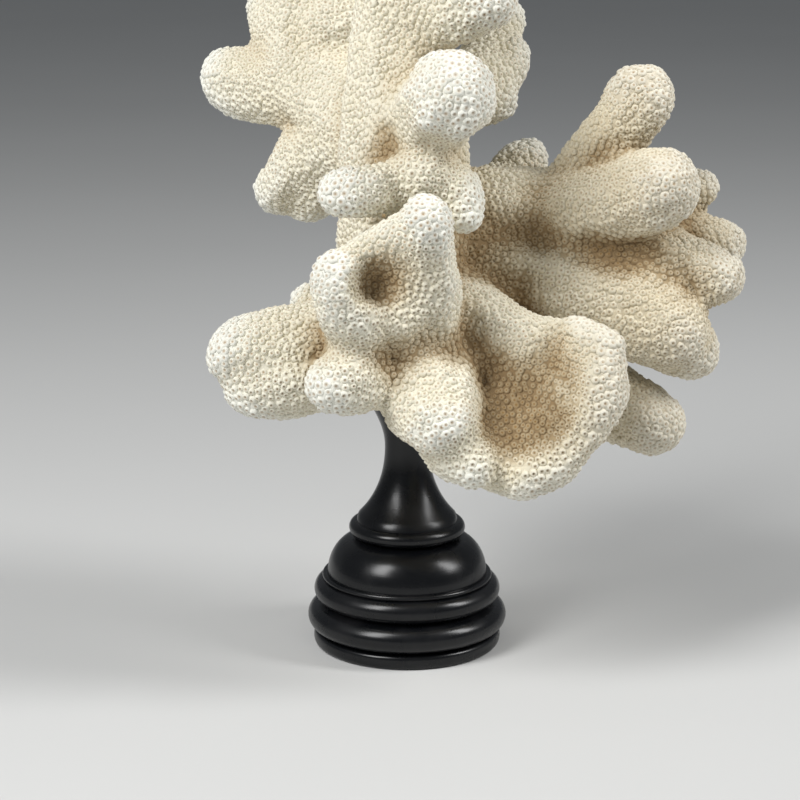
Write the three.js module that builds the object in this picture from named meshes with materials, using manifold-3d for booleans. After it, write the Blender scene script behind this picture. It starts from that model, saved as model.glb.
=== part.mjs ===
// White branching coral on a black turned pedestal.
// Millimetres, +Z up. The origin is the centre of the pedestal's underside, and -Y is the front.
// The coral is split at its main forks. Each branch is a few lobes fused in one solid, and keeps a hair gap
// to the pieces that it grows from.
import * as THREE from 'three';
import { mergeVertices } from 'three/addons/utils/BufferGeometryUtils.js';
import Module from 'manifold-3d';

const wasm = await Module();
wasm.setup();

// Driving dimensions of the pedestal, from the floor up
const PEDESTAL_HEIGHT = 90;
const PEDESTAL_SEGMENTS = 20;
const CURVE_STEPS = 3;
const FOOT = { radius: 32, height: 5, underRadius: 30 };
const LOWER_BEAD = { radius: 34, half: 4.5, z: 10 };
const UPPER_BEAD = { radius: 31.8, half: 3.9, z: 19.2 };
const DOME = { baseRadius: 27.4, baseZ: 24.4, topRadius: 16.6, topZ: 37.6, swell: 6.4 };
const COLLAR = { radius: 19.8, half: 2.6, z: 40.8 };
const NECK = { footRadius: 16.6, footZ: 45.4, radius: 7.5, z: 69, sweep: 12 };
const SEAT = { radius: 14, rim: 2.2, sweep: 8 };

// Driving dimensions of the coral
const FORK_GAP = 0.4;
const FOOT_CUT = { radius: 22, depth: 30 };
const THICK_LOBE = { radius: 12.5, sides: 9 };
const SLIM_LOBE_SIDES = 7;
const ROOT_CAP_ANGLES = [0.8];
const TIP_CAP_ANGLES = [0.55, 1.1];
const LUMP_SHARE = 0.025;
const LUMP_WAVE = { x: 0.31, y: 0.27, z: 0.35 };

// A lobe is a list of [x, y, z, radius] along its middle line, from the root to the tip.
// flat is its thickness as a share of its width, and thin is the direction in which it is thin.
const lobe = (line, flat = 1, thin = [0, 1, 0]) => ({ line, flat, thin });
const FAN_FACING = [0.49, 0.78, -0.39];

// The main stem, with the short lobes that stand out of its front and its back
const TRUNK = {
  stem: lobe([
    [-1, 2, 82, 17], [-2, -2, 118, 22], [-2, -6, 148, 22],
    [-1, -8, 176, 20], [-2, -6, 202, 17], [-2, -3, 222, 15],
  ]),
  upper_knob: lobe([[2, -16, 177, 12], [9.5, -36, 187, 14], [12.8, -45, 193, 15.8]]),
  ledge_left: lobe([[1, -22, 160, 10], [-12, -43, 163, 8.4], [-20, -48, 163, 7.4]], 0.9),
  ledge_middle: lobe([[1, -20, 160, 13], [3, -34, 163.5, 11.6], [4, -37, 166.5, 9.8]]),
  ledge_right: lobe([[6, -24, 162, 10], [15, -35, 161.5, 8.8], [18, -39, 154.5, 6.6]]),
  back_paddle: lobe([[-1, 4, 130, 16], [4, 26, 138, 13], [8, 40, 147, 10.8]]),
  back_paddle_left: lobe([[1, 16, 134, 12], [-7, 36, 142, 10.4], [-11, 44, 148, 8.8]]),
  back_paddle_right: lobe([[3, 16, 130, 12], [13, 34, 128, 10], [18, 43, 126, 8.6]]),
  low_back_finger: lobe([[-2, 2, 107, 14], [-13, 22, 109, 12], [-21, 34, 113, 10.2]]),
  low_back_knob: lobe([[-8, 10, 106, 12], [-26, 20, 104, 10.2], [-34, 24, 103, 8.8]]),
};

// The low branch that leans to the front: a cup with two prongs, and blunt lobes below it
const FRONT_BRANCH = {
  mass: lobe([[0, -8, 114, 20], [1, -26, 112, 17.5], [1, -38, 108, 14]]),
  right_prong: lobe([[5, -34, 112, 12], [7, -49, 138, 9.6], [5.5, -57, 156, 8.2]]),
  left_prong: lobe([[-10, -37, 112, 13], [-18, -55, 127, 11], [-22, -60, 138.5, 9.2]]),
  cup_front: lobe([[-1, -34, 112, 15], [-5, -46, 128, 13.5], [-4, -47, 141, 10.6]]),
  cup_rim: lobe([[-19, -54, 140, 7.6], [-11, -51, 145, 7.4], [2, -54, 152, 7.4]]),
  left_finger: lobe([[-9, -36, 106, 12.5], [-19, -54, 105, 10.8], [-22, -59, 105, 9.8]]),
  chin: lobe([[5, -30, 105, 15.5], [8, -49, 95, 16], [9.5, -55, 92.5, 13.6]]),
  chin_tip: lobe([[11, -46, 86, 11.5], [17.5, -55, 80.5, 9.2], [20.5, -58, 78, 7.4]]),
};

// The mitten-shaped branch on the left
const LEFT_BRANCH = {
  thumb: lobe([[-8, -14, 112, 16], [-24, -27, 112, 14.6], [-41, -34, 111, 13.6], [-54, -37, 109.5, 10.8]]),
  palm: lobe([[-20, -26, 104, 14], [-39, -36, 101.5, 13], [-47.5, -39, 99.5, 11.6]]),
  back_finger: lobe([[-14, -8, 115, 12], [-26, -10, 118, 8.4], [-31, -10, 120, 6.8]]),
};

// The broad fan on the right of the front, with the shoulder that runs into it
const FAN = {
  shoulder: lobe([[4, -16, 122, 15], [26, -27, 117, 12], [40, -32.5, 111, 8.8]]),
  heel: lobe([[13, -17, 108, 13], [21, -28, 106, 9.4]]),
  hub: lobe([[18, -14, 102, 16], [34, -31, 97, 18], [43, -40, 94, 16.4]], 0.52, FAN_FACING),
  top_blade: lobe([[26, -16, 106, 12], [44, -33, 109, 13], [55, -42, 112, 10]], 0.56, FAN_FACING),
  right_blade: lobe([[26, -16, 99, 12], [46, -37, 98, 14], [57, -47, 98, 10.4]], 0.52, FAN_FACING),
  low_blade: lobe([[23, -20, 95, 12], [37, -42, 86, 13], [45, -50, 82, 10.4]], 0.56, FAN_FACING),
  left_blade: lobe([[14, -22, 94, 15], [25, -40, 84, 12], [30, -49.5, 77, 9]], 0.8, FAN_FACING),
  rim: lobe([
    [54, -41, 117.5, 7.4], [62, -46, 113, 7.6], [62.5, -50, 100, 8], [56, -52, 87, 7.8],
    [47, -52, 77.5, 8.2], [36.5, -53, 72.5, 8.6], [29, -50, 74, 8],
  ]),
};

// The large branch on the right, with its spread of fingers
const RIGHT_BRANCH = {
  root: lobe([[4, 2, 142, 20], [24, 5, 142, 22], [48, 8, 142, 20.5], [64, 8, 143, 16]], 0.68),
  front_finger: lobe([[50, 6, 147, 15], [70, -9, 155, 13.8], [81.5, -17, 160, 12.8]]),
  top_finger: lobe([[55, 9, 149, 14.5], [68.5, 5, 173, 12], [76, 2, 186, 11.4]], 0.85),
  low_finger: lobe([[56, 6, 142, 15], [86, -2, 133.5, 12], [100.5, -9, 128.5, 10.4]]),
  side_finger: lobe([[58, 12, 145, 14], [92, 15, 137, 10.2], [105.5, 16, 135.5, 9.4]]),
  finger_web: lobe([[56, 9, 142, 16], [70, 7, 139, 14], [76, 6.5, 137.5, 12]], 0.6),
  small_finger: lobe([[66, 15, 152, 11], [93, 22, 153.5, 7.2], [99.5, 22, 153.5, 6.9]]),
  back_finger: lobe([[44, 14, 140, 13], [64, 34, 136, 10.6], [72, 44, 136, 9.4]]),
  back_knob: lobe([[20, 16, 146, 13], [35, 31, 153, 9.6], [40.5, 37, 161, 8.2]]),
};

// The two thick fingers below it
const LOWER_RIGHT_BRANCH = {
  thick_finger: lobe([[16, 2, 130, 17], [40, -2, 127, 17.4], [67, -8, 121, 15.8], [84, -15, 113.5, 15]], 0.9),
  knuckle: lobe([[74, -9, 114, 13], [88, -11, 107, 11.4], [92, -12, 105.5, 10.6]]),
  low_finger: lobe([[20, 4, 116, 15], [46, 2, 96, 13.6], [70, -6, 84.5, 13], [80, -10, 80.5, 12.2]]),
};

// The branch at the back on the left
const BACK_LEFT_BRANCH = {
  blade: lobe([
    [-4, 4, 170, 17], [-19, 24, 181, 18.4], [-33, 39, 194, 18], [-34, 45, 214, 15], [-32, 46, 234, 12.6],
  ], 0.72),
  left_finger: lobe([[-26, 34, 184, 15], [-50, 48, 185, 14], [-60, 53, 186.5, 12.8]], 0.85),
  upper_finger: lobe([[-32, 42, 194, 14], [-44, 50, 204, 11], [-48, 53, 210, 9]]),
  low_finger: lobe([[-18, 22, 170, 14], [-35, 36, 160, 11.8], [-44, 41, 150.5, 9.8]]),
  low_knob: lobe([[-24, 28, 162, 12], [-32, 37, 150, 9.8], [-34, 39, 146.5, 8.6]]),
  back_finger: lobe([[-26, 38, 206, 13], [-18, 54, 215, 10.4], [-14, 61, 219, 9.2]]),
};

// The short branch high on the right
const UPPER_RIGHT_BRANCH = {
  blade: lobe([[2, 4, 186, 14], [14, 16, 188, 12.6], [28, 25, 190, 10.6], [34, 28, 196, 9]], 0.8),
  low_knob: lobe([[16, 14, 184, 10], [27.5, 22, 184, 9.4]]),
  back_finger: lobe([[22, 20, 190, 10], [30, 36, 202, 9], [33, 42, 208, 8]]),
};

// The crown that ends the main stem
const CROWN = {
  hub: lobe([[-2, -3, 214, 15], [-2, 0, 230, 15.5]], 0.9),
  right_finger: lobe([[4, -9, 215, 13], [17, -16, 216.5, 11], [24.5, -20, 219.5, 9.4]]),
  left_tip: lobe([[-4, -2, 226, 14], [-13, -7, 242, 12.4], [-20, -10, 251, 10]], 0.8),
  front_tip: lobe([[-2, -6, 228, 12], [-5, -16, 243, 10.6], [-7, -21, 251, 9.2]]),
  middle_tip: lobe([[-1, 0, 228, 14], [1, 0, 248, 12.6], [2, 0, 257, 11]], 0.8),
  high_right_tip: lobe([[2, 2, 228, 13], [14, 5, 243, 11.4], [21, 7, 252, 9.6]]),
  back_tip: lobe([[-2, 5, 226, 12], [-4, 19, 238, 10.8], [-5, 26, 246, 9.4]]),
};

// Hollows, cut out of a branch after its lobes are fused: the cup between the prongs and the bowl of the fan
const HOLLOWS = {
  front_branch: lobe([[-9, -74, 140, 13], [-8.5, -63, 137, 9.8], [-8.3, -58.5, 135.5, 7.6]]),
  fan: lobe([[26, -60, 108, 24], [34, -66, 104, 24]]),
};

const CORAL = {
  trunk: TRUNK,
  front_branch: FRONT_BRANCH,
  left_branch: LEFT_BRANCH,
  fan: FAN,
  right_branch: RIGHT_BRANCH,
  lower_right_branch: LOWER_RIGHT_BRANCH,
  back_left_branch: BACK_LEFT_BRANCH,
  upper_right_branch: UPPER_RIGHT_BRANCH,
  crown: CROWN,
};

const UP = new THREE.Vector3(0, 0, 1);
const coralMaterial = new THREE.MeshStandardMaterial({ color: 0xe9e2d2, roughness: 0.9, metalness: 0 });
const pedestalMaterial = new THREE.MeshStandardMaterial({ color: 0x101112, roughness: 0.32, metalness: 0 });

// A closed geometry as a manifold solid: only the positions are kept, and equal ones are merged.
function solidOf(geometry) {
  const bare = geometry.clone();
  bare.deleteAttribute('normal');
  bare.deleteAttribute('uv');
  const merged = mergeVertices(bare, 1e-4);
  return new wasm.Manifold(new wasm.Mesh({
    numProp: 3,
    vertProperties: merged.getAttribute('position').array,
    triVerts: new Uint32Array(merged.index.array),
  }));
}

// A manifold solid as a geometry to draw.
function geometryOf(solid) {
  const mesh = solid.getMesh();
  const geometry = new THREE.BufferGeometry();
  geometry.setAttribute('position', new THREE.BufferAttribute(mesh.vertProperties, 3));
  geometry.setIndex(new THREE.BufferAttribute(mesh.triVerts, 1));
  geometry.computeVertexNormals();
  return geometry;
}

// How much a lobe swells or shrinks at a place, so that no two lobes are alike: a share of its radius.
function lump(p) {
  const { x, y, z } = LUMP_WAVE;
  return LUMP_SHARE * (Math.sin(x * p.x + 1.1) + Math.sin(y * p.y + z * p.z) + Math.sin(z * p.z - x * p.y));
}

// The rings of a lobe from root to tip: a centre, the direction there and a radius. Both ends are rounded.
function lobeRings(line, grow) {
  const stops = line.map(([x, y, z]) => new THREE.Vector3(x, y, z));
  const curve = new THREE.CatmullRomCurve3(stops, false, 'centripetal');
  const rings = stops.map((centre, i) => {
    const along = curve.getTangent(i / (stops.length - 1));
    return { centre, along, radius: line[i][3] * (1 + lump(centre)) + grow };
  });
  const pole = (end, side) => end.centre.clone().addScaledVector(end.along, side * end.radius);
  const cap = (end, side, angles) => angles.map((angle) => ({
    centre: end.centre.clone().addScaledVector(end.along, side * end.radius * Math.sin(angle)),
    along: end.along,
    radius: end.radius * Math.cos(angle),
  }));
  const root = rings[0];
  const tip = rings[rings.length - 1];
  return {
    rings: [...cap(root, -1, ROOT_CAP_ANGLES), ...rings, ...cap(tip, 1, TIP_CAP_ANGLES)],
    poles: [pole(root, -1), pole(tip, 1)],
  };
}

// A lobe as a closed solid: elliptical rings along its middle line, closed by a pole at each end.
function lobeSolid({ line, flat, thin }, grow) {
  const { rings, poles } = lobeRings(line, grow);
  const sides = line[0][3] < THICK_LOBE.radius ? SLIM_LOBE_SIDES : THICK_LOBE.sides;
  const points = [poles[0]];
  for (const { centre, along, radius } of rings) {
    const depth = new THREE.Vector3(...thin);
    depth.addScaledVector(along, -along.dot(depth));
    if (depth.lengthSq() < 0.05) depth.crossVectors(along, UP);
    depth.normalize();
    const width = new THREE.Vector3().crossVectors(depth, along);
    const thickness = radius * flat + grow * (1 - flat);
    for (let k = 0; k < sides; k++) {
      const turn = (2 * Math.PI * k) / sides;
      points.push(centre.clone()
        .addScaledVector(width, radius * Math.cos(turn))
        .addScaledVector(depth, thickness * Math.sin(turn)));
    }
  }
  points.push(poles[1]);
  const faces = [];
  const last = points.length - 1;
  for (let k = 0; k < sides; k++) {
    const next = (k + 1) % sides;
    faces.push(0, 1 + next, 1 + k);
    for (let low = 1; low + sides < last; low += sides) {
      const high = low + sides;
      faces.push(low + k, low + next, high + next, low + k, high + next, high + k);
    }
    faces.push(last, last - sides + k, last - sides + next);
  }
  return solidOf(new THREE.BufferGeometry().setFromPoints(points).setIndex(faces));
}

// All lobes of a branch in one solid, larger by grow on every side.
function branchSolid(lobes, grow) {
  const solids = Object.values(lobes).map((one) => lobeSolid(one, grow));
  return solids.reduce((a, b) => a.add(b));
}

// The largest body of a solid. A root that pokes out on the far side of the trunk is left off.
const mainBody = (solid) => solid.decompose().reduce((a, b) => (a.volume() > b.volume() ? a : b));

// The pedestal's outline from the middle of its underside to the middle of its seat.
function pedestalProfile() {
  const path = new THREE.Path();
  const bead = ({ radius, half, z }) => path.absarc(radius - half, z, half, -Math.PI / 2, Math.PI / 2, false);
  path.moveTo(0, 0);
  path.lineTo(FOOT.underRadius, 0);
  path.quadraticCurveTo(FOOT.radius, 0.4 * FOOT.height, FOOT.radius, 0.6 * FOOT.height);
  path.lineTo(FOOT.radius - 0.6, FOOT.height);
  bead(LOWER_BEAD);
  bead(UPPER_BEAD);
  path.lineTo(DOME.baseRadius, DOME.baseZ);
  path.bezierCurveTo(
    DOME.baseRadius, DOME.baseZ + DOME.swell,
    DOME.topRadius + DOME.swell, DOME.topZ,
    DOME.topRadius, DOME.topZ,
  );
  bead(COLLAR);
  path.lineTo(NECK.footRadius, NECK.footZ);
  path.bezierCurveTo(
    NECK.footRadius - NECK.sweep / 3, NECK.footZ + NECK.sweep / 3,
    NECK.radius, NECK.z - NECK.sweep,
    NECK.radius, NECK.z,
  );
  path.bezierCurveTo(
    NECK.radius, NECK.z + SEAT.sweep,
    SEAT.radius - SEAT.rim, PEDESTAL_HEIGHT - SEAT.sweep,
    SEAT.radius, PEDESTAL_HEIGHT - SEAT.rim,
  );
  path.lineTo(SEAT.radius, PEDESTAL_HEIGHT);
  path.lineTo(0, PEDESTAL_HEIGHT);
  return path.getPoints(CURVE_STEPS);
}

function addPiece(group, name, geometry, material) {
  const mesh = new THREE.Mesh(geometry, material);
  mesh.name = name;
  group.add(mesh);
}

const coralOnPedestal = new THREE.Group();
const pedestal = new THREE.LatheGeometry(pedestalProfile(), PEDESTAL_SEGMENTS).rotateX(Math.PI / 2);
addPiece(coralOnPedestal, 'pedestal', pedestal, pedestalMaterial);

// The trunk's foot is cut off level with the seat that it stands on, and each branch is cut back from the
// pieces before it in the list, which are taken a hair larger.
const footCut = new THREE.CylinderGeometry(FOOT_CUT.radius, FOOT_CUT.radius, FOOT_CUT.depth);
footCut.rotateX(Math.PI / 2).translate(0, 0, PEDESTAL_HEIGHT - FOOT_CUT.depth / 2);
let taken = solidOf(footCut);
for (const [name, lobes] of Object.entries(CORAL)) {
  let solid = branchSolid(lobes, 0).subtract(taken);
  if (name in HOLLOWS) solid = solid.subtract(lobeSolid(HOLLOWS[name], 0));
  solid = mainBody(solid);
  addPiece(coralOnPedestal, name, geometryOf(solid), coralMaterial);
  taken = taken.add(solid).add(branchSolid(lobes, FORK_GAP));
}

export default coralOnPedestal;
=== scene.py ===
# %% [markdown]
# # A white coral on a black pedestal
#
# This lesson dresses a plain CAD model. The frame holds a branching coral, split at its forks into solids
# with flat sides, and the turned pedestal that it stands on, all at their real size and place. What follows
# gives the coral one grown skin with thousands of small cups on it, and the pedestal its lacquer.

# %% Load the frame
import math

import bpy
import numpy as np
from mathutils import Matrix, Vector
from mathutils.kdtree import KDTree


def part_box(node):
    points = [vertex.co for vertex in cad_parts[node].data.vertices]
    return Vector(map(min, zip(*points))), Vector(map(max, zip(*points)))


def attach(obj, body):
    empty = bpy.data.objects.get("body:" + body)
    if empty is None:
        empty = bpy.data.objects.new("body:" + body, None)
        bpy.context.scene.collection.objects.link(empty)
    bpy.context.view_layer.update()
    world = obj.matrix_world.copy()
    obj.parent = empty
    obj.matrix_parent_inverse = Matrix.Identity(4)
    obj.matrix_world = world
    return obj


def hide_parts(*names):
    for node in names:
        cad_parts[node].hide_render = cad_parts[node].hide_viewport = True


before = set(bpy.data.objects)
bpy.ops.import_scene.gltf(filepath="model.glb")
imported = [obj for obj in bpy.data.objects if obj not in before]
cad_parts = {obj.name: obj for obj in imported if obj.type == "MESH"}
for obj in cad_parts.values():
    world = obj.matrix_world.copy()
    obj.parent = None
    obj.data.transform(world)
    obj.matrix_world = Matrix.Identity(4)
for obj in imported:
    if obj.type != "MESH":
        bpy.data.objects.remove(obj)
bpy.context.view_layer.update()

MM = 0.001
PEDESTAL = "pedestal"
BRANCHES = sorted(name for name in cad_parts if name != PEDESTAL)
print("branches:", ", ".join(BRANCHES))

# %% [markdown]
# ## Helpers for arrays
#
# Every surface here is worked out in millimetres with numpy, as whole arrays of points and faces, and is
# handed to Blender at the end by foreach_set. Small helpers do that and the way back, make a finished piece
# of a mesh, and keep numbers at its points for the material to read.

# %% Meshes to arrays and back
MERGE_DECIMALS = 3


def solid_arrays(node):
    """The points of a CAD node in millimetres, with equal ones merged, and its triangles."""
    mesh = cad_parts[node].data
    points = np.empty(3 * len(mesh.vertices))
    mesh.vertices.foreach_get("co", points)
    mesh.calc_loop_triangles()
    corners = np.empty(3 * len(mesh.loop_triangles), dtype=np.int32)
    mesh.loop_triangles.foreach_get("vertices", corners)
    places = np.round(points.reshape(-1, 3) / MM, MERGE_DECIMALS)
    merged, index = np.unique(places, axis=0, return_inverse=True)
    return merged, index.ravel()[corners].reshape(-1, 3)


def new_mesh(name, points, *face_groups):
    """A mesh from points in millimetres and arrays of faces, one array for each number of corners."""
    corners = np.concatenate([group.ravel() for group in face_groups]).astype(np.int32)
    sizes = np.concatenate([np.full(len(group), group.shape[1]) for group in face_groups])
    mesh = bpy.data.meshes.new(name)
    mesh.vertices.add(len(points))
    mesh.vertices.foreach_set("co", (points * MM).ravel())
    mesh.loops.add(len(corners))
    mesh.loops.foreach_set("vertex_index", corners)
    mesh.polygons.add(len(sizes))
    mesh.polygons.foreach_set("loop_start", (np.cumsum(sizes) - sizes).astype(np.int32))
    mesh.polygons.foreach_set("use_smooth", np.ones(len(sizes), dtype=bool))
    mesh.update(calc_edges=True)
    mesh.validate()
    return mesh


def new_piece(name, mesh, material, replaced=()):
    """A piece of the object: it rides on the one body, and may stand for CAD nodes."""
    piece = bpy.data.objects.new(name, mesh)
    bpy.context.collection.objects.link(piece)
    mesh.materials.append(material)
    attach(piece, "root")
    if replaced:
        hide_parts(*replaced)
    return piece


def point_values(mesh, **fields):
    """Numbers kept at the points of a mesh, which its material reads by name."""
    for name, values in fields.items():
        mesh.attributes.new(name, "FLOAT", "POINT").data.foreach_set("value", values.astype(np.float32))


print("solids:", {name: len(solid_arrays(name)[1]) for name in [*BRANCHES, PEDESTAL]}, "triangles")

# %% [markdown]
# ## One skin over all branches
#
# A coral grows as one piece: where a finger leaves a branch there is no seam, only a smooth hollow. The CAD
# branches are separate solids with a hair gap between them. So copies are grown a little until they overlap,
# and a voxel remesh gives one even skin round all of them. A boolean union would keep every flat side and
# leave sharp creases, and metaballs could not follow these shapes.

# %% Fuse the branches
GROWTH = 0.5
VOXEL = 1.5
TINY = 1e-12


def triangle_normals(points, triangles):
    """Cross product of two sides of each triangle: its normal, as long as twice its area."""
    a, b, c = (points[triangles[:, k]] for k in range(3))
    return np.cross(b - a, c - a)


def point_normals(points, triangles):
    """The normals of the triangles round each point, summed with their areas and scaled to length one."""
    cross = triangle_normals(points, triangles)
    corners = triangles.ravel()
    summed = [np.bincount(corners, np.repeat(cross[:, k], 3), len(points)) for k in range(3)]
    normals = np.stack(summed, axis=1)
    return normals / np.maximum(np.linalg.norm(normals, axis=1, keepdims=True), TINY)


def split_quads(quads):
    """Two triangles for each quad."""
    return np.concatenate([quads[:, [0, 1, 2]], quads[:, [0, 2, 3]]])


def voxel_skin(points, triangles, voxel):
    """The points and quads of the skin round overlapping solids, by Blender's voxel remesh."""
    lump = bpy.data.objects.new("lump", new_mesh("lump", points / MM, triangles))
    bpy.context.collection.objects.link(lump)
    remesh = lump.modifiers.new("fuse", "REMESH")
    remesh.mode = "VOXEL"
    remesh.voxel_size = voxel
    skin = lump.evaluated_get(bpy.context.evaluated_depsgraph_get()).to_mesh()
    found = np.empty(3 * len(skin.vertices))
    skin.vertices.foreach_get("co", found)
    corners = np.empty(len(skin.loops), dtype=np.int32)
    skin.loops.foreach_get("vertex_index", corners)
    bpy.data.objects.remove(lump)
    return found.reshape(-1, 3), corners.reshape(-1, 4)


grown = []
triangles = []
offset = 0
for name in BRANCHES:
    solid_points, solid_triangles = solid_arrays(name)
    grown.append(solid_points + GROWTH * point_normals(solid_points, solid_triangles))
    triangles.append(solid_triangles + offset)
    offset += len(solid_points)
skin_points, skin_quads = voxel_skin(np.concatenate(grown), np.concatenate(triangles), VOXEL)
skin_triangles = split_quads(skin_quads)
print(f"fused skin: {len(skin_points)} points, {len(skin_quads)} quads")

# %% [markdown]
# ## Rounded lobes and filled hollows
#
# The skin still shows the flat sides of the solids and a sharp crease wherever two of them meet. A living
# coral fills such creases first. So a short smoothing is followed by one that moves each point towards the
# mean of its neighbours only where that lies outside the skin, which fills creases and leaves ridges alone.
# Then a smoothing that shrinks and swells by turns rounds the flat sides and keeps the size. Slow waves add
# the uneven swell that nothing grown is without.

# %% Smooth the skin
FIRST_ROUNDS = 6
FILL_ROUNDS = 18
ROUNDING_ROUNDS = 24
SHRINK_STEP = 0.5
SWELL_STEP = -0.51
SETTLE = 0.8
SWELLS = ((26.0, 0.45), (13.0, 0.2), (7.0, 0.08))
WAVES_PER_SWELL = 24
SEAT_REACH = 22.0
rng = np.random.default_rng(11)


def neighbour_mean(quads, count):
    """Makes a function that gives the mean of any values over the neighbours of each point."""
    ends = np.concatenate([quads[:, [k, (k + 1) % 4]] for k in range(4)]).astype(np.int64)
    both_ways = np.concatenate([ends, ends[:, ::-1]])
    keys = np.unique(both_ways[:, 0] * count + both_ways[:, 1])
    here, there = keys // count, keys % count
    starts = np.searchsorted(here, np.arange(count))
    degree = np.diff(np.append(starts, len(keys)))

    def mean(values):
        summed = np.add.reduceat(values[there], starts, axis=0)
        return summed / degree.reshape(-1, *[1] * (values.ndim - 1))

    return mean


def fill_creases(points, rounds):
    """Moves each point along its normal by as much as the mean of its neighbours lies outside the skin."""
    for _ in range(rounds):
        normals = point_normals(points, skin_triangles)
        outward = np.einsum("ij,ij->i", around(points) - points, normals)
        points = points + np.maximum(outward, 0)[:, None] * normals
    return points


def round_off(points, rounds):
    """Smooths by steps towards the neighbours' mean and slightly larger steps away from it."""
    for _ in range(rounds):
        for step in (SHRINK_STEP, SWELL_STEP):
            points = points + step * (around(points) - points)
    return points


def swell(points, size):
    """A smooth random field: sine waves of one length in random directions, summed and scaled."""
    directions = rng.normal(size=(WAVES_PER_SWELL, 3))
    directions /= np.linalg.norm(directions, axis=1, keepdims=True)
    phases = rng.uniform(0, 2 * math.pi, WAVES_PER_SWELL)
    waves = np.sin(points @ directions.T * (2 * math.pi / size) + phases)
    return waves.sum(axis=1) * math.sqrt(2 / WAVES_PER_SWELL)


around = neighbour_mean(skin_quads, len(skin_points))
skin_points = round_off(skin_points, FIRST_ROUNDS)
skin_points = fill_creases(skin_points, FILL_ROUNDS)
skin_points = round_off(skin_points, ROUNDING_ROUNDS)
skin_normals = point_normals(skin_points, skin_triangles)
lift = sum(height * swell(skin_points, size) for size, height in SWELLS) - SETTLE
skin_points = skin_points + lift[:, None] * skin_normals
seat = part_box(PEDESTAL)[1].z / MM
over_seat = np.hypot(skin_points[:, 0], skin_points[:, 1]) < SEAT_REACH
skin_points[over_seat, 2] = np.maximum(skin_points[over_seat, 2], seat)
skin_normals = point_normals(skin_points, skin_triangles)
skin_area = np.linalg.norm(triangle_normals(skin_points, skin_triangles), axis=1).sum() / 2
print(f"skin area {skin_area / 100:.0f} square centimetres")

# %% [markdown]
# ## Tips and hollows
#
# The tips of the fingers are where the coral grows: they are the whitest, and their cups are shallow and
# packed like a honeycomb. The hollows between branches and the narrow folds are tan to brown: partly old
# stain, and partly painted shade, the shade that falls in them painted into the colour, browner the deeper
# they lie. Both follow from the shape. A copy of the skin is smoothed so strongly that the fingers draw back
# into the stem: the way from that copy to the skin points along each finger to its tip, and how far it leads
# outwards tells a tip from a hollow. A second copy, smoothed less, finds the narrow folds. The right side of
# the coral is creamier than the left, so a slow drift across it is added to the same number of stain and
# painted shade.

# %% Measure tips and hollows
DRAWN_BACK_ROUNDS = 320
NEAR_ROUNDS = 90
TIP_GROWTH = (3.2, 7.4)
TIP_REACH = (1.5, 5.5)
FOLD_DEPTH = (-0.2, 1.5)
HOLLOW_DEPTH = (-1.0, 3.6)
STAIN_AND_SHADE_SHARES = (0.85, 0.8)
STAIN_AND_SHADE_SPREAD_ROUNDS = 30
CREAM_SIDE = (10.0, 80.0)
CREAM_SHARE = 0.34
PERCENTILES = [1, 5, 25, 50, 75, 95, 99]


def ramp(values, low, high):
    """0 below low, 1 above high, and a soft step between."""
    share = np.clip((values - low) / (high - low), 0, 1)
    return share * share * (3 - 2 * share)


def drawn_back(points, rounds):
    """The points after many plain smoothing steps, which draw every finger back towards the stem."""
    for _ in range(rounds):
        points = points + SHRINK_STEP * (around(points) - points)
    return points


growth = skin_points - drawn_back(skin_points, DRAWN_BACK_ROUNDS)
reach = np.einsum("ij,ij->i", growth, skin_normals)
fold = np.einsum("ij,ij->i", skin_points - drawn_back(skin_points, NEAR_ROUNDS), skin_normals)
growth_length = np.linalg.norm(growth, axis=1)
tip = ramp(growth_length, *TIP_GROWTH) * ramp(reach, *TIP_REACH)
# Painted shade: the tan to brown of folds and hollows is partly real stain and partly the shade that falls in
# them, painted into the colour.
in_folds = STAIN_AND_SHADE_SHARES[0] * ramp(-fold, *FOLD_DEPTH)
in_hollows = STAIN_AND_SHADE_SHARES[1] * ramp(-reach, *HOLLOW_DEPTH)
stain = drawn_back(1 - (1 - in_folds) * (1 - in_hollows), STAIN_AND_SHADE_SPREAD_ROUNDS)
stain = stain + CREAM_SHARE * ramp(skin_points[:, 0], *CREAM_SIDE)
for name, measure in (("growth", growth_length), ("reach", reach), ("fold", fold)):
    print(f"{name} at percentiles {PERCENTILES}:", np.percentile(measure, PERCENTILES).round(2))
print(f"tips {tip.mean():.2f} of the skin, stained hollows {stain.mean():.2f}")

# %% [markdown]
# ## Where the cups sit
#
# Each cup once held a polyp, and polyps keep their distance: a little over two millimetres on the sides of
# the fingers, and more at the tips, where the cups are wider. A plain random scatter would clump, and a grid
# would show rows. So many candidates are thrown evenly over the skin, each one that is kept clears the room
# round it, and then every cup moves to the middle of the candidates that are nearest to it. Two rounds of
# that give the even, irregular spacing of the real thing. Where two fingers almost touch, a cup could end up
# in mid air between them. Its candidates then face opposite ways, so their mean normal is short, and the cup
# is left out.

# %% Scatter the cups
SIDE_SPACING = 2.2
TIP_SPACING = 2.6
CANDIDATES = 230_000
CLEARED_SHARE = 0.74
EVENING_ROUNDS = 2
LEAST_AGREEMENT = 0.85
PLACE = slice(0, 3)
NORMAL = slice(3, 6)
GROWTH_WAY = slice(6, 9)
TIP = slice(9, 10)
STAIN_AND_SHADE = slice(10, 11)


def tree_of(points):
    """A search tree over points."""
    tree = KDTree(len(points))
    for index, point in enumerate(points):
        tree.insert(point, index)
    tree.balance()
    return tree


def nearest(tree, points):
    """The index in the tree of the point nearest to each of the points."""
    return np.fromiter((tree.find(point)[1] for point in points), np.int64, len(points))


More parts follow.
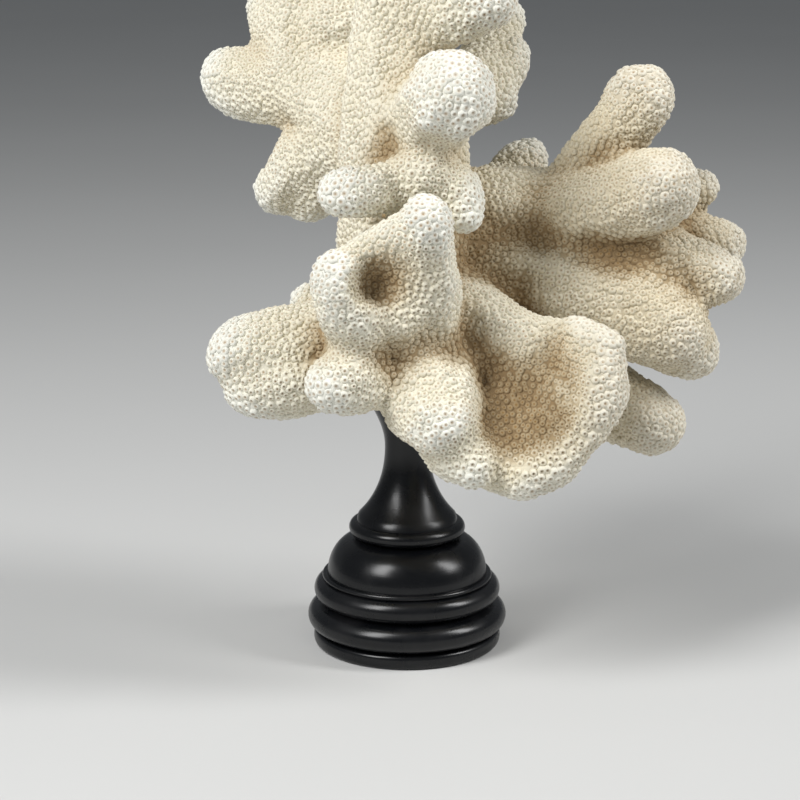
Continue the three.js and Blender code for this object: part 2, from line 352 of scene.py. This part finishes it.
def thrown(points, triangles, count):
    """Random triangles, each as likely as it is large, and its corners' weights at a random place in it."""
    area = np.linalg.norm(triangle_normals(points, triangles), axis=1)
    picked = triangles[rng.choice(len(triangles), count, p=area / area.sum())]
    weights = rng.random((count, 2))
    weights = np.where(weights.sum(axis=1, keepdims=True) > 1, 1 - weights, weights)
    return picked, np.column_stack([1 - weights.sum(axis=1), weights])


def at(values, picked, weights):
    """Values of the skin at thrown places: the weighted mean over each triangle's corners."""
    return np.einsum("ij,ij...->i...", weights, values[picked])


def group_mean(values, group, count):
    """The mean of the rows of values that belong to each group."""
    size = np.maximum(np.bincount(group, minlength=count), 1)
    return np.stack([np.bincount(group, column, count) / size for column in values.T], axis=1)


picked, weights = thrown(skin_points, skin_triangles, CANDIDATES)
fields = np.column_stack([skin_points, skin_normals, growth, tip, stain])
candidates = at(fields, picked, weights)
room = CLEARED_SHARE * (SIDE_SPACING + (TIP_SPACING - SIDE_SPACING) * candidates[:, TIP].ravel())
candidate_tree = tree_of(candidates[:, PLACE])
free = np.ones(CANDIDATES, dtype=bool)
kept = []
for index, point in enumerate(candidates[:, PLACE]):
    if free[index]:
        kept.append(index)
        free[[found[1] for found in candidate_tree.find_range(point, room[index])]] = False
sites = candidates[kept]
for _ in range(EVENING_ROUNDS):
    group = nearest(tree_of(sites[:, PLACE]), candidates[:, PLACE])
    sites = group_mean(candidates, group, len(sites))
    sites = sites[np.linalg.norm(sites[:, NORMAL], axis=1) > LEAST_AGREEMENT]
print(f"{len(sites)} cups")

# %% [markdown]
# ## The cups
#
# On old growth a cup is a short tube that leans towards the finger's tip, with a round rim and a dark hole.
# At the tips the cups are wide, low and pressed together. Both are the same profile of a few rings round an
# axis, with other radii and heights, so one grid of rings by corners is worked out for all cups at once, each
# in the axes of its own place. The lowest ring lies flat in the skin and only the rims lean, since a tilted
# foot would stand out of the skin as a step. A cup has few faces, because there are so many, and each is a
# closed little solid.

# %% Shape of a cup
CUP_SIDES = 6
BASE_DEPTH = 0.4
TUBE_RADII = np.array([1.80, 0.77, 0.43])
TUBE_HEIGHTS = np.array([0.66, 0.66])
COMB_RADII = np.array([2.05, 1.00, 0.56])
COMB_HEIGHTS = np.array([0.55, 0.50])
TUBE_PIT = 0.08
COMB_PIT = 0.09
HOLLOW_FLATTENING = 0.35
LEAN = 0.75
RING_LEAN = (0.0, 1.0, 1.0)
LEAN_SPREAD = 0.08
SHORTEST_GROWTH = 2.0
SIZE_SPREAD = 0.09
HEIGHT_SPREAD = 0.20
HEIGHT_LIMITS = (0.5, 1.5)


def unit(vectors):
    """Vectors scaled to length one."""
    return vectors / np.maximum(np.linalg.norm(vectors, axis=1, keepdims=True), TINY)


def cup_lean(normals, growth):
    """How far each cup leans for each millimetre of its rise: along the skin, towards the finger's tip."""
    along_skin = growth - np.einsum("ij,ij->i", growth, normals)[:, None] * normals
    pull = along_skin / np.maximum(np.linalg.norm(growth, axis=1, keepdims=True), SHORTEST_GROWTH)
    return LEAN * pull + LEAN_SPREAD * rng.normal(size=normals.shape)


def circles(axes, start):
    """A circle of corners square to each axis: cos * across + sin * aside, with across square to start."""
    across = unit(np.cross(axes, start))
    aside = np.cross(axes, across)
    turn = 2 * math.pi * np.arange(CUP_SIDES)[:, None] / CUP_SIDES
    return across[:, None] * np.cos(turn) + aside[:, None] * np.sin(turn)


def cup_grid(sites):
    """Points of all cups: place + height * leaning axis + radius * circle, ring by ring, then the pits."""
    share = sites[:, TIP]
    size = 1 + SIZE_SPREAD * rng.normal(size=(len(sites), 1))
    tall = 1 + HEIGHT_SPREAD * rng.normal(size=(len(sites), 1))
    radii = size * (TUBE_RADII + share * (COMB_RADII - TUBE_RADII))
    tall = np.clip(tall, *HEIGHT_LIMITS) * (1 - HOLLOW_FLATTENING * np.clip(sites[:, STAIN_AND_SHADE], 0, 1))
    rims = tall * (TUBE_HEIGHTS + share * (COMB_HEIGHTS - TUBE_HEIGHTS))
    heights = np.column_stack([np.full(len(sites), -BASE_DEPTH), rims])
    pit = TUBE_PIT + share * (COMB_PIT - TUBE_PIT)
    normals = unit(sites[:, NORMAL])
    lean = cup_lean(normals, sites[:, GROWTH_WAY])
    start = np.cross(normals, rng.normal(size=normals.shape))
    circle = np.stack([circles(unit(normals + part * lean), start) for part in RING_LEAN], axis=1)
    places = sites[:, None, PLACE]
    centres = places + heights[:, :, None] * (normals + lean)[:, None]
    rings = centres[:, :, None] + radii[:, :, None, None] * circle
    pits = places + pit[:, None] * (normals + lean)[:, None]
    return np.concatenate([rings.reshape(len(sites), -1, 3), pits], axis=1)


def cup_faces(count):
    """Faces of all cups: walls between the rings, a fan down to the pit, and the hidden base."""
    corner = np.arange(CUP_SIDES)
    after = (corner + 1) % CUP_SIDES
    low = CUP_SIDES * np.arange(len(TUBE_RADII) - 1)[:, None]
    walls = np.stack([low + corner, low + after, low + CUP_SIDES + after, low + CUP_SIDES + corner], axis=2)
    rim = CUP_SIDES * (len(TUBE_RADII) - 1)
    bottom = CUP_SIDES * len(TUBE_RADII)
    fan = np.stack([rim + corner, rim + after, np.full(CUP_SIDES, bottom)], axis=1)
    first = (bottom + 1) * np.arange(count)[:, None, None]
    spread = [part + first for part in (walls.reshape(-1, 4), fan, corner[None, ::-1])]
    return [part.reshape(-1, part.shape[-1]) for part in spread]


print(f"{len(cup_faces(1)[0])} walls, {len(cup_faces(1)[1])} faces in the pit and a base on each cup")

# %% [markdown]
# ## A branch for each cup
#
# The cups are too many for one mesh that is easy to handle, so each is given to the branch whose solid is
# nearest. Points thrown over the solids stand in for their surface, as many on each branch, so the index of
# the nearest one also tells the branch. Cups under the foot, where the coral rests on the pedestal, are left
# out.

# %% Share out the cups
FOOT_CLEARANCE = 1.2
BRANCH_SAMPLES = 4000

in_foot = np.hypot(sites[:, 0], sites[:, 1]) < SEAT_REACH
sites = sites[~(in_foot & (sites[:, 2] < seat + FOOT_CLEARANCE))]
branch_points = []
for name in BRANCHES:
    solid_points, solid_triangles = solid_arrays(name)
    branch_points.append(at(solid_points, *thrown(solid_points, solid_triangles, BRANCH_SAMPLES)))
cup_branch = nearest(tree_of(np.concatenate(branch_points)), sites[:, PLACE]) // BRANCH_SAMPLES
print("cups on each branch:", dict(zip(BRANCHES, np.bincount(cup_branch).tolist())))

# %% [markdown]
# ## Materials from nodes
#
# The materials are small node graphs, so a helper makes a node, sets its inputs and joins it up in one line.
# Patterns read Object coordinates, in metres from the origin, and the numbers that the meshes keep at their
# points. Neither needs an image or an unwrapped surface, and both look the same from every side.

# %% Node helpers
MIX_SHARE, MIX_FIRST, MIX_SECOND = 0, 6, 7
MIX_COLOUR = 2


def add_node(tree, kind, settings=(), **inputs):
    """A shader node. An input is a value, or the output of another node that is then linked to it."""
    made = tree.nodes.new(kind)
    for name, value in dict(settings).items():
        setattr(made, name, value)
    for name, value in inputs.items():
        socket = made.inputs[name.replace("_", " ")]
        if isinstance(value, bpy.types.NodeSocket):
            tree.links.new(value, socket)
        else:
            socket.default_value = value
    return made


def blended(tree, share, first, second):
    """A colour between two: the first where share is 0 and the second where it is 1."""
    mix = tree.nodes.new("ShaderNodeMix")
    mix.data_type = "RGBA"
    for index, value in ((MIX_SHARE, share), (MIX_FIRST, first), (MIX_SECOND, second)):
        if isinstance(value, bpy.types.NodeSocket):
            tree.links.new(value, mix.inputs[index])
        else:
            mix.inputs[index].default_value = value
    return mix.outputs[MIX_COLOUR]


def calculated(tree, operation, *values):
    """One step of arithmetic on numbers, kept between 0 and 1."""
    math_node = tree.nodes.new("ShaderNodeMath")
    math_node.operation = operation
    math_node.use_clamp = True
    for socket, value in zip(math_node.inputs, values):
        if isinstance(value, bpy.types.NodeSocket):
            tree.links.new(value, socket)
        else:
            socket.default_value = value
    return math_node.outputs[0]


def remapped(tree, value, stretch, becomes=(0.0, 1.0)):
    """A value whose stretch, from low to high, becomes another one, and goes no further at its ends."""
    named = dict(zip(("From_Min", "From_Max", "To_Min", "To_Max"), (*stretch, *becomes)))
    return add_node(tree, "ShaderNodeMapRange", Value=value, **named).outputs[0]


def speckle(tree, place, scale, detail):
    """Soft noise of about 1 / scale metres, with as many finer layers as detail says."""
    settings = {"noise_dimensions": "3D"}
    noise = add_node(tree, "ShaderNodeTexNoise", settings, Vector=place, Scale=scale, Detail=detail)
    return noise.outputs[0]


def kept_value(tree, name):
    """A number that the mesh keeps at its points."""
    return add_node(tree, "ShaderNodeAttribute", {"attribute_name": name}).outputs["Fac"]


def dented(tree, shader, height, strength, distance):
    """A bump on the shader's normal, from a height between 0 and 1 and the depth that it stands for."""
    bump = add_node(tree, "ShaderNodeBump", Height=height, Strength=strength, Distance=distance)
    tree.links.new(bump.outputs[0], shader.inputs["Normal"])


def new_material(name, roughness, specular):
    """An empty material: its node tree, its main shader and the Object coordinates."""
    material = bpy.data.materials.new(name)
    material.use_nodes = True
    tree = material.node_tree
    shader = next(made for made in tree.nodes if made.type == "BSDF_PRINCIPLED")
    shader.inputs["Roughness"].default_value = roughness
    shader.inputs["Specular IOR Level"].default_value = specular
    place = add_node(tree, "ShaderNodeTexCoord").outputs["Object"]
    return material, tree, shader, place


print("node helpers:", ", ".join(made.__name__ for made in (blended, calculated, remapped, speckle, dented)))

# %% [markdown]
# ## Bleached coral
#
# The skeleton is lime, cleaned and bleached: cool white at the growing tips, cream on the sides, and tan to
# brown in the hollows, partly stain where the bleach didn't reach and partly painted shade. Tan also lies in
# the gaps between the cups, as stain and painted shade, and orange lies inside them, as stain and as painted
# shade and glow in the holes, while their rims stay pale. So the colour is mixed from three numbers kept at
# the points: tip, stain with painted shade, and pit. Noise breaks them up, since a stain that followed the
# shape exactly would look sprayed on.

# %% Coral material
TIP_WHITE = (0.82, 0.82, 0.75, 1)
CREAM = (0.775, 0.735, 0.60, 1)
# TAN and BROWN are stain colours that also serve as painted shade in hollows, folds and the gaps between
# cups.
TAN = (0.53, 0.43, 0.265, 1)
BROWN = (0.25, 0.165, 0.08, 1)
# PIT_ORANGE is partly stain in the holes and partly painted shade and a painted warm glow of scattered light
# in them.
PIT_ORANGE = (0.29, 0.165, 0.05, 1)
CORAL_ROUGHNESS = 0.82
CORAL_SPECULAR = 0.25
PATCH_NOISE = (55, 3.0)
MOTTLE_NOISE = (230, 3.0)
GRAIN_NOISE = (1400, 4.0)
GRAIN_STRENGTH = 0.5
GRAIN_DEPTH = 0.0003
WHITE_PATCHES = ((0.35, 0.7), (0.0, 0.35))
UNEVEN_STAIN_AND_SHADE = ((0.3, 0.7), (0.85, 1.12))
UNEVEN_PITS = ((0.3, 0.7), (0.6, 1.0))
TAN_STAIN_AND_SHADE = (0.0, 0.75)
BROWN_STAIN_AND_SHADE = ((0.33, 0.88), (0.0, 0.88))


def make_coral():
    """Cream to white by tip, to tan and brown by stain with painted shade, and to orange by pit, each broken
    up by noise.
    """
    material, tree, shader, place = new_material("bleached_coral", CORAL_ROUGHNESS, CORAL_SPECULAR)
    patches = speckle(tree, place, *PATCH_NOISE)
    mottle = speckle(tree, place, *MOTTLE_NOISE)
    whiteness = calculated(tree, "ADD", kept_value(tree, "tip"), remapped(tree, patches, *WHITE_PATCHES))
    clean = blended(tree, whiteness, CREAM, TIP_WHITE)
    # Painted shade: the stain number is highest in hollows, folds and at the cup bases, partly real stain and
    # partly painted shade.
    stain = calculated(tree, "MULTIPLY", kept_value(tree, "stain"), remapped(tree, mottle, *UNEVEN_STAIN_AND_SHADE))
    tanned = blended(tree, remapped(tree, stain, TAN_STAIN_AND_SHADE), clean, TAN)
    browned = blended(tree, remapped(tree, stain, *BROWN_STAIN_AND_SHADE), tanned, BROWN)
    # Painted shade: the orange in the pits stands partly for the shade and warm glow in the holes, partly for
    # stain.
    pit = calculated(tree, "MULTIPLY", kept_value(tree, "pit"), remapped(tree, patches, *UNEVEN_PITS))
    tree.links.new(blended(tree, pit, browned, PIT_ORANGE), shader.inputs["Base Color"])
    dented(tree, shader, speckle(tree, place, *GRAIN_NOISE), GRAIN_STRENGTH, GRAIN_DEPTH)
    return material


coral = make_coral()
print(f"{coral.name}: {len(coral.node_tree.nodes)} nodes")

# %% [markdown]
# ## The coral's pieces
#
# The skin is one closed piece that stands for all nine branches. The cups follow as one piece for each
# branch. A cup's base, rim, inner edge and pit each have their own share of the stain and painted shade, most
# at the base, in the gaps between the cups, and in the pit, and of the orange in the hole, which is partly
# painted shade too. The material reads them from the points.

# %% Skin and cups into the scene
# Painted shade: the ground share darkens the skin between the cups, partly as tan and partly as the shade in
# the gaps. The ring shares put the most at the cup bases and pits.
GROUND_STAIN_AND_SHADE = 0.08
RING_STAIN_AND_SHADE = (1.0, 0.7, 0.6, 1.0)
RING_PIT = (0.0, 0.0, 0.4, 1.0)


def per_cup_point(ring_values):
    """A value for each point of a cup, from one for each ring and one for the pit."""
    return np.append(np.repeat(ring_values[:-1], CUP_SIDES), ring_values[-1])


skin_mesh = new_mesh("coral_skin", skin_points, skin_quads)
point_values(skin_mesh, tip=tip, stain=GROUND_STAIN_AND_SHADE + stain, pit=0 * stain)
new_piece("coral_skin", skin_mesh, coral, BRANCHES)
for number, name in enumerate(BRANCHES):
    own = sites[cup_branch == number]
    cup_mesh = new_mesh(f"{name}_cups", cup_grid(own).reshape(-1, 3), *cup_faces(len(own)))
    # The stain here is partly painted shade at the cup bases and in the pits.
    cup_stain = (GROUND_STAIN_AND_SHADE + own[:, STAIN_AND_SHADE]) * per_cup_point(RING_STAIN_AND_SHADE)
    cup_pit = np.tile(per_cup_point(RING_PIT), len(own))
    cup_tip = np.repeat(own[:, TIP], len(cup_pit) // len(own))
    point_values(cup_mesh, tip=cup_tip, stain=cup_stain.ravel(), pit=cup_pit)
    new_piece(f"{name}_cups", cup_mesh, coral)
    print(f"{name}_cups: {len(own)} cups, {len(cup_mesh.polygons)} faces")

# %% [markdown]
# ## The turned pedestal
#
# A pedestal like this is turned on a lathe and lacquered black. Its outline is a row of mouldings: a foot,
# two round beads, a dome with a thin lip under it, a collar and a trumpet neck. The outline is worked out
# from arcs and curves, as in the CAD model but with many more steps, and carried round the axis as a grid of
# points by angles. Small grooves between the mouldings get their own points, since they are the dark lines
# that make the beads read.

# %% Turn the pedestal
TURN_STEPS = 144
ARC_STEPS = 14
FOOT_RADIUS = 32.0
FOOT_UNDER = 30.0
FOOT_HEIGHT = 5.0
FOOT_SHOULDER = 3.0
FOOT_ROUNDING = 1.6
LOWER_BEAD = (34.0, 4.5, 10.0)
UPPER_BEAD = (31.8, 3.9, 19.2)
COLLAR = (19.8, 2.6, 40.8)
DOME_LIP = (29.0, 0.9, 24.0)
DOME_FOOT = (27.2, 24.9)
DOME_TOP = (16.6, 37.6)
DOME_SWELL = 6.4
NECK_FOOT = (16.6, 45.4)
NECK_WAIST = (7.5, 69.0)
NECK_SWEEP = 12.0
SEAT_RADIUS = 14.0
SEAT_RIM = 2.2
SEAT_SWEEP = 8.0
SEAT_ROUNDING = 0.6
SHARP_ANGLE = math.radians(35)


def curve(*controls):
    """A Bezier curve: its control points weighted by the Bernstein polynomials of their number."""
    share = np.linspace(0, 1, ARC_STEPS)[:, None]
    degree = len(controls) - 1
    weights = [math.comb(degree, k) * share**k * (1 - share) ** (degree - k) for k in range(degree + 1)]
    return sum(weight * np.array(point) for weight, point in zip(weights, controls))


def bead(radius, half, height):
    """A half round moulding: an arc from straight down to straight up, as wide as it is tall."""
    angle = np.linspace(-math.pi / 2, math.pi / 2, ARC_STEPS)
    return np.column_stack([radius - half + half * np.cos(angle), height + half * np.sin(angle)])


def outline():
    """The pedestal's outline as radius and height, from the edge of its underside to that of its seat."""
    seat_edge = (SEAT_RADIUS, seat - SEAT_RIM)
    return np.concatenate([
        curve((FOOT_UNDER, 0), (FOOT_RADIUS, 0), (FOOT_RADIUS, FOOT_HEIGHT / 2)),
        curve(
            (FOOT_RADIUS, FOOT_SHOULDER),
            (FOOT_RADIUS, FOOT_HEIGHT),
            (FOOT_RADIUS - FOOT_ROUNDING, FOOT_HEIGHT),
        ),
        bead(*LOWER_BEAD),
        bead(*UPPER_BEAD),
        bead(*DOME_LIP),
        curve(
            DOME_FOOT,
            (DOME_FOOT[0], DOME_FOOT[1] + DOME_SWELL),
            (DOME_TOP[0] + DOME_SWELL, DOME_TOP[1]),
            DOME_TOP,
        ),
        bead(*COLLAR),
        curve(
            NECK_FOOT,
            (NECK_FOOT[0] - NECK_SWEEP / 3, NECK_FOOT[1] + NECK_SWEEP / 3),
            (NECK_WAIST[0], NECK_WAIST[1] - NECK_SWEEP),
            NECK_WAIST,
        ),
        curve(
            NECK_WAIST,
            (NECK_WAIST[0], NECK_WAIST[1] + SEAT_SWEEP),
            (SEAT_RADIUS - SEAT_RIM, seat - SEAT_SWEEP),
            seat_edge,
        )[1:],
        curve(seat_edge, (SEAT_RADIUS, seat), (SEAT_RADIUS - SEAT_ROUNDING, seat))[1:],
    ])


def turned(profile):
    """Points (r cos a, r sin a, z) for every point of a profile and every angle, ring by ring."""
    angle = 2 * math.pi * np.arange(TURN_STEPS) / TURN_STEPS
    r, z = profile[:, :1], profile[:, 1:]
    return np.stack([r * np.cos(angle), r * np.sin(angle), z + 0 * angle], axis=2).reshape(-1, 3)


def turned_faces(rings):
    """Quads between neighbouring rings, and one flat face on each end."""
    here = np.arange(TURN_STEPS)
    after = np.roll(here, -1)
    low = TURN_STEPS * np.arange(rings - 1)[:, None]
    high = low + TURN_STEPS
    quads = np.stack([low + here, low + after, high + after, high + here], axis=2).reshape(-1, 4)
    ends = np.stack([here[::-1], TURN_STEPS * (rings - 1) + here])
    return quads, ends


profile = outline()
pedestal_mesh = new_mesh(PEDESTAL, turned(profile), *turned_faces(len(profile)))
pedestal_mesh.set_sharp_from_angle(angle=SHARP_ANGLE)
print(f"pedestal: {len(profile)} rings of {TURN_STEPS} points")

# %% [markdown]
# ## Black lacquer
#
# The lacquer is black with a satin gloss: it mirrors the lamps as soft streaks. A perfectly even gloss looks
# like plastic, so slow noise varies the roughness, and faint rings that the lathe left run round the axis.

# %% Lacquer material
LACQUER_BLACK = (0.003, 0.0034, 0.0042, 1)
LACQUER_DUST = (0.010, 0.010, 0.011, 1)
LACQUER_ROUGHNESS = (0.22, 0.34)
LACQUER_SPECULAR = 0.36
CLOUD_NOISE = (70, 4.0)
DUSTY_CLOUDS = (0.5, 0.8)
GLOSS_CLOUDS = (0.3, 0.75)
RING_NOISE = {"Scale": 900, "Detail": 2.0}
RING_STRENGTH = 0.35
RING_DEPTH = 0.00004


def make_lacquer():
    """Black with a trace of dust by noise, uneven gloss, and a bump of rings that follow height alone."""
    material, tree, shader, place = new_material("black_lacquer", LACQUER_ROUGHNESS[0], LACQUER_SPECULAR)
    clouds = speckle(tree, place, *CLOUD_NOISE)
    dust = remapped(tree, clouds, DUSTY_CLOUDS)
    tree.links.new(blended(tree, dust, LACQUER_BLACK, LACQUER_DUST), shader.inputs["Base Color"])
    gloss = remapped(tree, clouds, GLOSS_CLOUDS, LACQUER_ROUGHNESS)
    tree.links.new(gloss, shader.inputs["Roughness"])
    height = add_node(tree, "ShaderNodeSeparateXYZ", Vector=place).outputs["Z"]
    rings = add_node(tree, "ShaderNodeTexNoise", {"noise_dimensions": "1D"}, W=height, **RING_NOISE)
    dented(tree, shader, rings.outputs[0], RING_STRENGTH, RING_DEPTH)
    return material


lacquer = make_lacquer()
new_piece("turned_pedestal", pedestal_mesh, lacquer, [PEDESTAL])
print(f"{lacquer.name}: {len(lacquer.node_tree.nodes)} nodes")

# %% [markdown]
# ## Floor and lamps
#
# The coral stands on a plain pale floor. Two tall soft lamps light it from the left and the right of the
# camera, the left one larger and stronger, so that every finger has a bright and a shaded side, and a dim sky
# fills the shadows. Area lamps are used because small ones would give each cup a hard shadow. A lamp is
# given by its angle to the right of the camera, its angle above the floor, its width, height and power.

# %% Floor and lamps
FLOOR_HALF = 8.0
FLOOR_GREY = (0.56, 0.56, 0.55, 1)
FLOOR_LIGHTER = (0.60, 0.60, 0.59, 1)
FLOOR_ROUGHNESS = 0.7
FLOOR_SPECULAR = 0.3
FLOOR_NOISE = (3.0, 3.0)
SUBJECT = Vector((0.01, 0.0, 0.17))
LAMP_DISTANCE = 1.1
LAMPS = {
    "left_lamp": (-46, 42, 0.42, 0.8, 14),
    "right_lamp": (78, 35, 0.32, 0.62, 9.5),
}
SKY = (0.9, 0.95, 1.0, 1)
SKY_STRENGTH = 0.17


def make_floor():
    """A large square with a faint cloudy grey, so that it isn't one flat tone."""
    material, tree, shader, place = new_material("pale_floor", FLOOR_ROUGHNESS, FLOOR_SPECULAR)
    clouds = speckle(tree, place, *FLOOR_NOISE)
    tree.links.new(blended(tree, clouds, FLOOR_GREY, FLOOR_LIGHTER), shader.inputs["Base Color"])
    corners = FLOOR_HALF / MM * np.array([[-1, -1, 0], [1, -1, 0], [1, 1, 0], [-1, 1, 0]])
    mesh = new_mesh("floor", corners, np.array([[0, 1, 2, 3]]))
    mesh.materials.append(material)
    floor = bpy.data.objects.new("floor", mesh)
    bpy.context.collection.objects.link(floor)


def add_lamp(name, azimuth, elevation, width, height, power):
    """A tall soft lamp that faces the coral: azimuth turns it to the right, elevation lifts it."""
    light = bpy.data.lights.new(name, "AREA")
    light.shape = "RECTANGLE"
    light.size = width
    light.size_y = height
    light.energy = power
    lamp = bpy.data.objects.new(name, light)
    bpy.context.collection.objects.link(lamp)
    side, up = math.radians(azimuth), math.radians(elevation)
    towards = Vector((math.sin(side) * math.cos(up), -math.cos(side) * math.cos(up), math.sin(up)))
    lamp.location = SUBJECT + LAMP_DISTANCE * towards
    lamp.rotation_euler = towards.to_track_quat("Z", "Y").to_euler()


make_floor()
for name, values in LAMPS.items():
    add_lamp(name, *values)
world = bpy.data.worlds.new("studio")
world.use_nodes = True
sky = next(made for made in world.node_tree.nodes if made.type == "BACKGROUND")
sky.inputs["Color"].default_value = SKY
sky.inputs["Strength"].default_value = SKY_STRENGTH
bpy.context.scene.world = world
bpy.context.scene.view_settings.view_transform = "Standard"
print("lamps:", ", ".join(LAMPS))

# %% [markdown]
# ## Camera
#
# The picture is taken from the front and a little above, through a long lens that hardly exaggerates what is
# near. The camera looks down by fourteen degrees and stands so close that the top of the coral leaves the
# picture. It could be aimed with a constraint, but plain angles say exactly where it looks. Depth of field
# stays off, so that every cup is sharp.

# %% Camera
CAMERA_PLACE = Vector((-0.0024, -0.7762, 0.2786))
CAMERA_DOWN = math.radians(14)
CAMERA_LENS = 106.8
CAMERA_SENSOR = 36.0

camera_data = bpy.data.cameras.new("camera")
camera_data.lens = CAMERA_LENS
camera_data.sensor_width = CAMERA_SENSOR
camera = bpy.data.objects.new("camera", camera_data)
bpy.context.collection.objects.link(camera)
camera.location = CAMERA_PLACE
camera.rotation_euler = (math.pi / 2 - CAMERA_DOWN, 0, 0)
bpy.context.scene.camera = camera
print(f"camera {camera.location.length:.2f} m from the origin, lens {CAMERA_LENS} mm")
